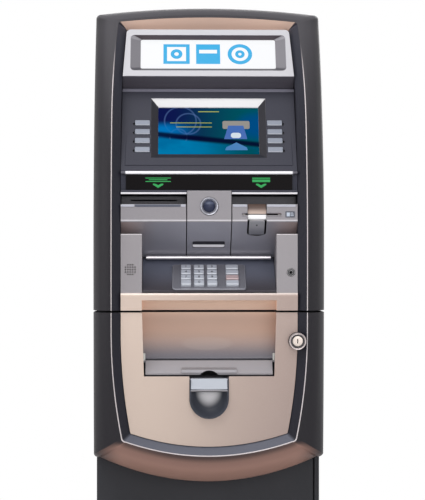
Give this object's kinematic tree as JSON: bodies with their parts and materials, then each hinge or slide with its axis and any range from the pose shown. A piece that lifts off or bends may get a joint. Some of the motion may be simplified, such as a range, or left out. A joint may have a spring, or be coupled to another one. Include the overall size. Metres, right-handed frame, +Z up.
{
  "type": "cash machine",
  "caption": "Free-standing cash machine: steel vault below, sheet-metal head above, hinged fascias with screen, keypad, card and receipt modules and a cash recess.",
  "frame": {"origin": "on the floor under the middle of the machine", "axes": "+Z up, -Y towards the customer, +X to the customer's right"},
  "size_m": [0.404, 0.58, 1.41],
  "materials": {
    "cabinet_paint": "fine textured powder coat",
    "black_plastic": "matt moulded",
    "lcd_glass": "lit display behind glass",
    "zinc_plate": "zinc plated",
    "receipt_paper": "thermal paper",
    "graphite_paint": "dark metallic satin",
    "sign_white": "white satin",
    "lit_panel": "lit translucent panel",
    "slate_paint": "slate metallic satin",
    "gloss_black": "high gloss",
    "module_paint": "grey metallic satin",
    "champagne_paint": "champagne metallic satin",
    "bare_metal": "satin",
    "key_metal": "satin"
  },
  "bodies": {
    "root": {"vault_cabinet": "cabinet_paint", "head_cabinet": "cabinet_paint", "power_inlet": "black_plastic", "receipt_printer": "zinc_plate", "control_unit": "zinc_plate", "dispenser_module": "zinc_plate", "cash_cassette": "black_plastic"},
    "upper_fascia": {"upper_bezel": "graphite_paint", "sign_housing": "sign_white", "sign_panel": "lit_panel", "monitor_panel": "slate_paint", "lcd_display": "lcd_glass", "label_strip": "gloss_black", "receipt_face": "module_paint", "card_face": "module_paint", "card_reader": "module_paint", "centre_panel": "module_paint", "keypad_light": "lit_panel", "camera_lens": "gloss_black", "keypad_shelf": "slate_paint", "pinpad_plate": "slate_paint", "keypad_surround": "champagne_paint", "speaker": "black_plastic", "audio_jack": "black_plastic"},
    "vault_door": {"vault_door": "cabinet_paint"},
    "lower_fascia": {"lower_bezel": "graphite_paint", "lower_panel": "champagne_paint", "dispense_chute": "champagne_paint", "finger_scoop": "slate_paint", "lock_body": "bare_metal"},
    "paper_roll": {"paper_roll": "receipt_paper"},
    "vault_handle": {"vault_handle": "zinc_plate"},
    "locking_bolts": {"locking_bolts": "zinc_plate"},
    "combination_dial": {"combination_dial": "zinc_plate"},
    "cash_flap": {"cash_flap": "bare_metal"},
    "lock_plug": {"lock_plug": "bare_metal"},
    "side_key_left_1": {"side_key_left_1": "key_metal"},
    "side_key_left_2": {"side_key_left_2": "key_metal"},
    "side_key_left_3": {"side_key_left_3": "key_metal"},
    "side_key_left_4": {"side_key_left_4": "key_metal"},
    "side_key_right_1": {"side_key_right_1": "key_metal"},
    "side_key_right_2": {"side_key_right_2": "key_metal"},
    "side_key_right_3": {"side_key_right_3": "key_metal"},
    "side_key_right_4": {"side_key_right_4": "key_metal"},
    "pin_key_1_1": {"pin_key_1_1": "key_metal"},
    "pin_key_1_2": {"pin_key_1_2": "key_metal"},
    "pin_key_1_3": {"pin_key_1_3": "key_metal"},
    "pin_key_1_4": {"pin_key_1_4": "key_metal"},
    "pin_key_2_1": {"pin_key_2_1": "key_metal"},
    "pin_key_2_2": {"pin_key_2_2": "key_metal"},
    "pin_key_2_3": {"pin_key_2_3": "key_metal"},
    "pin_key_2_4": {"pin_key_2_4": "key_metal"},
    "pin_key_3_1": {"pin_key_3_1": "key_metal"},
    "pin_key_3_2": {"pin_key_3_2": "key_metal"},
    "pin_key_3_3": {"pin_key_3_3": "key_metal"},
    "pin_key_3_4": {"pin_key_3_4": "key_metal"},
    "pin_key_4_1": {"pin_key_4_1": "key_metal"},
    "pin_key_4_2": {"pin_key_4_2": "key_metal"},
    "pin_key_4_3": {"pin_key_4_3": "key_metal"},
    "pin_key_4_4": {"pin_key_4_4": "key_metal"}
  },
  "joints": [
    {"name": "upper_fascia_hinge", "type": "hinge", "parent": "root", "child": "upper_fascia", "pos_m": [-0.19, -0.1185, 1.115], "axis": [0, 0, -1], "range_deg": [0, 90]},
    {"name": "vault_door_hinge", "type": "hinge", "parent": "root", "child": "vault_door", "pos_m": [-0.1915, -0.163, 0.43], "axis": [0, 0, -1], "range_deg": [0, 90]},
    {"name": "lower_fascia_hinge", "type": "hinge", "parent": "vault_door", "child": "lower_fascia", "pos_m": [-0.19, -0.1835, 0.73], "axis": [0, 0, -1], "range_deg": [0, 90]},
    {"name": "vault_handle_turn", "type": "hinge", "parent": "vault_door", "child": "vault_handle", "pos_m": [-0.08, -0.17, 0.69], "axis": [0, -1, 0], "range_deg": [0, 90]},
    {"name": "bolt_slide", "type": "slide", "parent": "vault_door", "child": "locking_bolts", "axis": [1, 0, 0], "range_m": [0, 0.015]},
    {"name": "dial_turn", "type": "hinge", "parent": "vault_door", "child": "combination_dial", "pos_m": [0.07, -0.17, 0.66], "axis": [0, -1, 0], "continuous": true},
    {"name": "lock_plug_turn", "type": "hinge", "parent": "lower_fascia", "child": "lock_plug", "pos_m": [0.153, -0.289, 0.812], "axis": [0, -1, 0], "range_deg": [0, 90]},
    {"name": "cash_flap_hinge", "type": "hinge", "parent": "lower_fascia", "child": "cash_flap", "pos_m": [0, -0.244, 0.7745], "axis": [-1, 0, 0], "range_deg": [0, 55]},
    {"name": "paper_roll_turn", "type": "hinge", "parent": "root", "child": "paper_roll", "pos_m": [-0.1, 0.05, 0.9415], "axis": [1, 0, 0], "continuous": true},
    {"name": "side_key_left_1_press", "type": "slide", "parent": "upper_fascia", "child": "side_key_left_1", "axis": [0, 0.8802, -0.4746], "range_m": [0, 0.0015], "stiffness_N_per_m": 600},
    {"name": "side_key_left_2_press", "type": "slide", "parent": "upper_fascia", "child": "side_key_left_2", "axis": [0, 0.8802, -0.4746], "range_m": [0, 0.0015], "stiffness_N_per_m": 600},
    {"name": "side_key_left_3_press", "type": "slide", "parent": "upper_fascia", "child": "side_key_left_3", "axis": [0, 0.8802, -0.4746], "range_m": [0, 0.0015], "stiffness_N_per_m": 600},
    {"name": "side_key_left_4_press", "type": "slide", "parent": "upper_fascia", "child": "side_key_left_4", "axis": [0, 0.8802, -0.4746], "range_m": [0, 0.0015], "stiffness_N_per_m": 600},
    {"name": "side_key_right_1_press", "type": "slide", "parent": "upper_fascia", "child": "side_key_right_1", "axis": [0, 0.8802, -0.4746], "range_m": [0, 0.0015], "stiffness_N_per_m": 600},
    {"name": "side_key_right_2_press", "type": "slide", "parent": "upper_fascia", "child": "side_key_right_2", "axis": [0, 0.8802, -0.4746], "range_m": [0, 0.0015], "stiffness_N_per_m": 600},
    {"name": "side_key_right_3_press", "type": "slide", "parent": "upper_fascia", "child": "side_key_right_3", "axis": [0, 0.8802, -0.4746], "range_m": [0, 0.0015], "stiffness_N_per_m": 600},
    {"name": "side_key_right_4_press", "type": "slide", "parent": "upper_fascia", "child": "side_key_right_4", "axis": [0, 0.8802, -0.4746], "range_m": [0, 0.0015], "stiffness_N_per_m": 600},
    {"name": "pin_key_1_1_press", "type": "slide", "parent": "upper_fascia", "child": "pin_key_1_1", "axis": [0, 0.5457, -0.838], "range_m": [0, 0.0012], "stiffness_N_per_m": 600},
    {"name": "pin_key_1_2_press", "type": "slide", "parent": "upper_fascia", "child": "pin_key_1_2", "axis": [0, 0.5457, -0.838], "range_m": [0, 0.0012], "stiffness_N_per_m": 600},
    {"name": "pin_key_1_3_press", "type": "slide", "parent": "upper_fascia", "child": "pin_key_1_3", "axis": [0, 0.5457, -0.838], "range_m": [0, 0.0012], "stiffness_N_per_m": 600},
    {"name": "pin_key_1_4_press", "type": "slide", "parent": "upper_fascia", "child": "pin_key_1_4", "axis": [0, 0.5457, -0.838], "range_m": [0, 0.0012], "stiffness_N_per_m": 600},
    {"name": "pin_key_2_1_press", "type": "slide", "parent": "upper_fascia", "child": "pin_key_2_1", "axis": [0, 0.5457, -0.838], "range_m": [0, 0.0012], "stiffness_N_per_m": 600},
    {"name": "pin_key_2_2_press", "type": "slide", "parent": "upper_fascia", "child": "pin_key_2_2", "axis": [0, 0.5457, -0.838], "range_m": [0, 0.0012], "stiffness_N_per_m": 600},
    {"name": "pin_key_2_3_press", "type": "slide", "parent": "upper_fascia", "child": "pin_key_2_3", "axis": [0, 0.5457, -0.838], "range_m": [0, 0.0012], "stiffness_N_per_m": 600},
    {"name": "pin_key_2_4_press", "type": "slide", "parent": "upper_fascia", "child": "pin_key_2_4", "axis": [0, 0.5457, -0.838], "range_m": [0, 0.0012], "stiffness_N_per_m": 600},
    {"name": "pin_key_3_1_press", "type": "slide", "parent": "upper_fascia", "child": "pin_key_3_1", "axis": [0, 0.5457, -0.838], "range_m": [0, 0.0012], "stiffness_N_per_m": 600},
    {"name": "pin_key_3_2_press", "type": "slide", "parent": "upper_fascia", "child": "pin_key_3_2", "axis": [0, 0.5457, -0.838], "range_m": [0, 0.0012], "stiffness_N_per_m": 600},
    {"name": "pin_key_3_3_press", "type": "slide", "parent": "upper_fascia", "child": "pin_key_3_3", "axis": [0, 0.5457, -0.838], "range_m": [0, 0.0012], "stiffness_N_per_m": 600},
    {"name": "pin_key_3_4_press", "type": "slide", "parent": "upper_fascia", "child": "pin_key_3_4", "axis": [0, 0.5457, -0.838], "range_m": [0, 0.0012], "stiffness_N_per_m": 600},
    {"name": "pin_key_4_1_press", "type": "slide", "parent": "upper_fascia", "child": "pin_key_4_1", "axis": [0, 0.5457, -0.838], "range_m": [0, 0.0012], "stiffness_N_per_m": 600},
    {"name": "pin_key_4_2_press", "type": "slide", "parent": "upper_fascia", "child": "pin_key_4_2", "axis": [0, 0.5457, -0.838], "range_m": [0, 0.0012], "stiffness_N_per_m": 600},
    {"name": "pin_key_4_3_press", "type": "slide", "parent": "upper_fascia", "child": "pin_key_4_3", "axis": [0, 0.5457, -0.838], "range_m": [0, 0.0012], "stiffness_N_per_m": 600},
    {"name": "pin_key_4_4_press", "type": "slide", "parent": "upper_fascia", "child": "pin_key_4_4", "axis": [0, 0.5457, -0.838], "range_m": [0, 0.0012], "stiffness_N_per_m": 600}
  ],
  "couplings": [
    {"joint": "bolt_slide", "follows": "vault_handle_turn", "m_per_rad": 0.009549}
  ]
}
